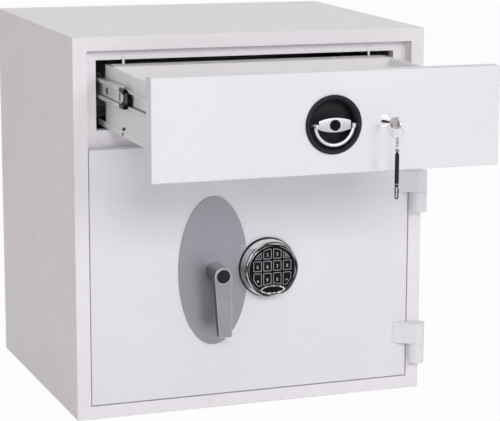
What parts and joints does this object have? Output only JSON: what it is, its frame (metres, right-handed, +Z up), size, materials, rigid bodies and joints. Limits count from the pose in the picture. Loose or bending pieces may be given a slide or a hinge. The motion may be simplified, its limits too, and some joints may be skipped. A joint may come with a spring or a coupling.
{
  "type": "deposit safe",
  "caption": "Upright steel safe with a keyed deposit drawer on telescopic slides above a hinged door with lever, round keypad and sliding bolts.",
  "frame": {"origin": "centre of the base, on the floor", "axes": "+Z up; the door and drawer face -Y; +X is towards the hinges"},
  "size_m": [0.5022, 0.741, 0.515],
  "materials": {
    "body_paint": "white powder coat, slightly warm, fine orange peel",
    "front_paint": "white powder coat on the door and drawer front",
    "inner_paint": "light grey primer on the inner sheet",
    "barrier": "dull grey filling",
    "slide_zinc": "bright zinc plated strip",
    "satin_silver": "satin chrome",
    "bright_chrome": "polished chrome",
    "oval_grey": "satin grey anodised",
    "black_plastic": "fine matt moulded texture",
    "gloss_black": "glossy moulded",
    "key_black": "soft matt buttons",
    "dark_steel": "oiled machined steel",
    "bolt_steel": "turned and polished steel",
    "tag_dark": "dark anodised look"
  },
  "bodies": {
    "cabinet": {"casing": "body_paint", "back_panel": "body_paint", "barrier_fill": "barrier", "liner": "inner_paint", "front_frame": "body_paint", "shelf": "inner_paint", "slide_brackets": "slide_zinc", "slide_outer": "slide_zinc", "lip_stops": "body_paint", "hinge_knuckles": "front_paint", "hinge_pins": "bolt_steel"},
    "slide_middles": {"slide_mid": "slide_zinc", "slide_bumpers": "black_plastic"},
    "drawer": {"drawer_front": "front_paint", "drawer_backing": "inner_paint", "tray": "body_paint", "tray_floor": "body_paint", "tray_rear_wall": "body_paint", "slide_inner": "slide_zinc", "pull_cup": "black_plastic", "pull_plate": "satin_silver", "pull_disc": "gloss_black", "lock_barrel": "front_paint"},
    "bail": {"pull_bail": "satin_silver"},
    "drawer_lock": {"lock_plug": "bright_chrome", "lock_cam": "slide_zinc", "drawer_key": "satin_silver"},
    "ring": {"key_ring": "bright_chrome"},
    "tag": {"ring_links": "bright_chrome", "key_tag": "tag_dark"},
    "door": {"door_pan": "front_paint", "door_core": "inner_paint", "works_case": "inner_paint", "hinge_leaves": "front_paint", "dog_bolts": "bolt_steel", "oval_plate": "oval_grey", "pad_base": "black_plastic", "pad_bezel": "bright_chrome", "pad_face": "gloss_black", "pad_badge": "bright_chrome", "lock_unit": "black_plastic"},
    "handle": {"lever": "satin_silver", "lever_cap": "black_plastic", "lever_spindle": "bolt_steel", "lever_crank": "dark_steel"},
    "boltwork": {"bolt_carriage": "dark_steel", "bolts": "bolt_steel"},
    "button_1": {"key_1": "key_black"},
    "button_2": {"key_2": "key_black"},
    "button_3": {"key_3": "key_black"},
    "button_4": {"key_4": "key_black"},
    "button_5": {"key_5": "key_black"},
    "button_6": {"key_6": "key_black"},
    "button_7": {"key_7": "key_black"},
    "button_8": {"key_8": "key_black"},
    "button_9": {"key_9": "key_black"},
    "button_10": {"key_10": "key_black"},
    "button_11": {"key_11": "key_black"},
    "button_12": {"key_12": "key_black"}
  },
  "joints": [
    {"name": "drawer_slide", "type": "slide", "parent": "cabinet", "child": "drawer", "axis": [0, -1, 0], "range_m": [-0.277, 0.023]},
    {"name": "slide_middle_slide", "type": "slide", "parent": "cabinet", "child": "slide_middles", "axis": [0, -1, 0], "range_m": [-0.1386, 0.0116]},
    {"name": "bail_lift", "type": "hinge", "parent": "drawer", "child": "bail", "pos_m": [0.003, -0.485, 0.4305], "axis": [1, 0, 0], "range_deg": [-80, 0]},
    {"name": "lock_turn", "type": "hinge", "parent": "drawer", "child": "drawer_lock", "pos_m": [0.07, -0.482, 0.4323], "axis": [0, -1, 0], "range_deg": [0, 90]},
    {"name": "ring_swing", "type": "hinge", "parent": "drawer_lock", "child": "ring", "pos_m": [0.07, -0.525, 0.431], "axis": [1, 0, 0], "range_deg": [-40, 10]},
    {"name": "tag_swing", "type": "hinge", "parent": "ring", "child": "tag", "pos_m": [0.07, -0.525, 0.4158], "axis": [1, 0, 0], "range_deg": [-40, 10]},
    {"name": "door_swing", "type": "hinge", "parent": "cabinet", "child": "door", "pos_m": [0.2412, -0.2165, 0.193], "axis": [0, 0, 1], "range_deg": [0, 180]},
    {"name": "bolt_slide", "type": "slide", "parent": "door", "child": "boltwork", "axis": [-1, 0, 0], "range_m": [0, 0.02]},
    {"name": "lever_turn", "type": "hinge", "parent": "door", "child": "handle", "pos_m": [-0.0575, -0.205, 0.193], "axis": [0, 1, 0], "range_deg": [0, 90]},
    {"name": "button_1_press", "type": "slide", "parent": "door", "child": "button_1", "axis": [0, 1, 0], "range_m": [0, 0.0009], "stiffness_N_per_m": 250},
    {"name": "button_2_press", "type": "slide", "parent": "door", "child": "button_2", "axis": [0, 1, 0], "range_m": [0, 0.0009], "stiffness_N_per_m": 250},
    {"name": "button_3_press", "type": "slide", "parent": "door", "child": "button_3", "axis": [0, 1, 0], "range_m": [0, 0.0009], "stiffness_N_per_m": 250},
    {"name": "button_4_press", "type": "slide", "parent": "door", "child": "button_4", "axis": [0, 1, 0], "range_m": [0, 0.0009], "stiffness_N_per_m": 250},
    {"name": "button_5_press", "type": "slide", "parent": "door", "child": "button_5", "axis": [0, 1, 0], "range_m": [0, 0.0009], "stiffness_N_per_m": 250},
    {"name": "button_6_press", "type": "slide", "parent": "door", "child": "button_6", "axis": [0, 1, 0], "range_m": [0, 0.0009], "stiffness_N_per_m": 250},
    {"name": "button_7_press", "type": "slide", "parent": "door", "child": "button_7", "axis": [0, 1, 0], "range_m": [0, 0.0009], "stiffness_N_per_m": 250},
    {"name": "button_8_press", "type": "slide", "parent": "door", "child": "button_8", "axis": [0, 1, 0], "range_m": [0, 0.0009], "stiffness_N_per_m": 250},
    {"name": "button_9_press", "type": "slide", "parent": "door", "child": "button_9", "axis": [0, 1, 0], "range_m": [0, 0.0009], "stiffness_N_per_m": 250},
    {"name": "button_10_press", "type": "slide", "parent": "door", "child": "button_10", "axis": [0, 1, 0], "range_m": [0, 0.0009], "stiffness_N_per_m": 250},
    {"name": "button_11_press", "type": "slide", "parent": "door", "child": "button_11", "axis": [0, 1, 0], "range_m": [0, 0.0009], "stiffness_N_per_m": 250},
    {"name": "button_12_press", "type": "slide", "parent": "door", "child": "button_12", "axis": [0, 1, 0], "range_m": [0, 0.0009], "stiffness_N_per_m": 250}
  ],
  "couplings": [
    {"joint": "slide_middle_slide", "follows": "drawer_slide", "ratio": 0.5},
    {"joint": "lever_turn", "follows": "bolt_slide", "rad_per_m": 78.5}
  ]
}
